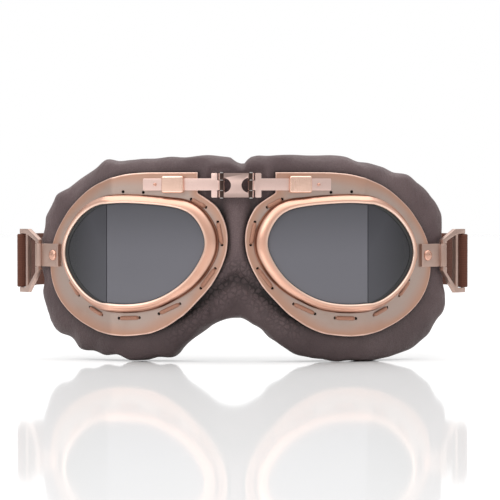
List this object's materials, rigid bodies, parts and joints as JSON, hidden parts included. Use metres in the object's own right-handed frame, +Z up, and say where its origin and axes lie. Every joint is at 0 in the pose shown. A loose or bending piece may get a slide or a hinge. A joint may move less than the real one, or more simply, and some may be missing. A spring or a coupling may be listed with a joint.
{
  "type": "motorcycle goggles",
  "caption": "Aviator motorcycle goggles: bent copper lens frames with smoke panes, laced leather pads, hinged sliding nose bridge and webbing strap.",
  "frame": {"origin": "on the floor, under the middle of the whole thing with its strap", "axes": "+X across the face to the wearer's left, +Y from the lenses back to the head, +Z up"},
  "size_m": [0.2042, 0.146, 0.0901],
  "materials": {
    "eye_frame": "brushed antique copper plate",
    "lens_rim": "polished antique copper plate",
    "lens_gasket": "moulded rubber",
    "lens_front": "smoke tinted",
    "lens_side": "smoke tinted",
    "lacing": "copper brown waxed lace",
    "bridge_link": "antique copper plate",
    "hinge_pins": "plain steel",
    "bridge_arm": "antique copper plate",
    "stop_nub": "antique copper plate",
    "keeper": "polished antique copper plate",
    "temple_plate": "antique copper plate",
    "temple_rivet": "polished copper head",
    "strap_loop": "antique copper plate",
    "strap_end": "brown elastic webbing, sewn double",
    "strap_band": "brown elastic webbing",
    "strap_slider": "antique copper plate",
    "pad": "dark brown grained leather",
    "pad_lining": "soft black lining",
    "nose_leather": "dark brown grained leather"
  },
  "bodies": {
    "bridge": {"bridge_link": "bridge_link", "hinge_pins": "hinge_pins", "nose_leather": "nose_leather", "strap_band": "strap_band"},
    "arm_l": {"bridge_arm_l": "bridge_arm", "stop_nub_l": "stop_nub"},
    "eye_l": {"eye_frame_l": "eye_frame", "lens_rim_l": "lens_rim", "lens_gasket_l": "lens_gasket", "lens_front_l": "lens_front", "lens_side_l": "lens_side", "lacing_l": "lacing", "keeper_l": "keeper", "temple_plate_l": "temple_plate", "temple_rivet_l": "temple_rivet", "pad_l": "pad", "pad_lining_l": "pad_lining"},
    "loop_l": {"strap_loop_l": "strap_loop", "strap_end_l": "strap_end"},
    "arm_r": {"bridge_arm_r": "bridge_arm", "stop_nub_r": "stop_nub"},
    "eye_r": {"eye_frame_r": "eye_frame", "lens_rim_r": "lens_rim", "lens_gasket_r": "lens_gasket", "lens_front_r": "lens_front", "lens_side_r": "lens_side", "lacing_r": "lacing", "keeper_r": "keeper", "temple_plate_r": "temple_plate", "temple_rivet_r": "temple_rivet", "pad_r": "pad", "pad_lining_r": "pad_lining"},
    "loop_r": {"strap_loop_r": "strap_loop", "strap_end_r": "strap_end"},
    "slider": {"strap_slider": "strap_slider"}
  },
  "joints": [
    {"name": "fold_l", "type": "hinge", "parent": "bridge", "child": "arm_l", "pos_m": [-0.00638, -0.06893, 0.0769], "axis": [0, 0, -1], "range_deg": [-3, 14], "deforming": ["nose_leather", "strap_band"]},
    {"name": "width_l", "type": "slide", "parent": "arm_l", "child": "eye_l", "axis": [-0.9781, 0.2079, 0], "range_m": [-0.002, 0.0023], "deforming": ["nose_leather", "strap_band"]},
    {"name": "loop_swing_l", "type": "hinge", "parent": "eye_l", "child": "loop_l", "pos_m": [-0.09026, -0.02375, 0.046], "axis": [0, 0, -1], "range_deg": [-20, 7], "deforming": ["strap_band"]},
    {"name": "fold_r", "type": "hinge", "parent": "bridge", "child": "arm_r", "pos_m": [0.00638, -0.06893, 0.0769], "axis": [0, 0, 1], "range_deg": [-3, 14], "deforming": ["nose_leather", "strap_band"]},
    {"name": "width_r", "type": "slide", "parent": "arm_r", "child": "eye_r", "axis": [0.9781, 0.2079, 0], "range_m": [-0.002, 0.0023], "deforming": ["nose_leather", "strap_band"]},
    {"name": "loop_swing_r", "type": "hinge", "parent": "eye_r", "child": "loop_r", "pos_m": [0.09026, -0.02375, 0.046], "axis": [0, 0, 1], "range_deg": [-20, 7], "deforming": ["strap_band"]},
    {"name": "strap_adjust", "type": "slide", "parent": "bridge", "child": "slider", "axis": [1, 0, 0], "range_m": [-0.006, 0.006], "deforming": ["strap_band"]}
  ]
}
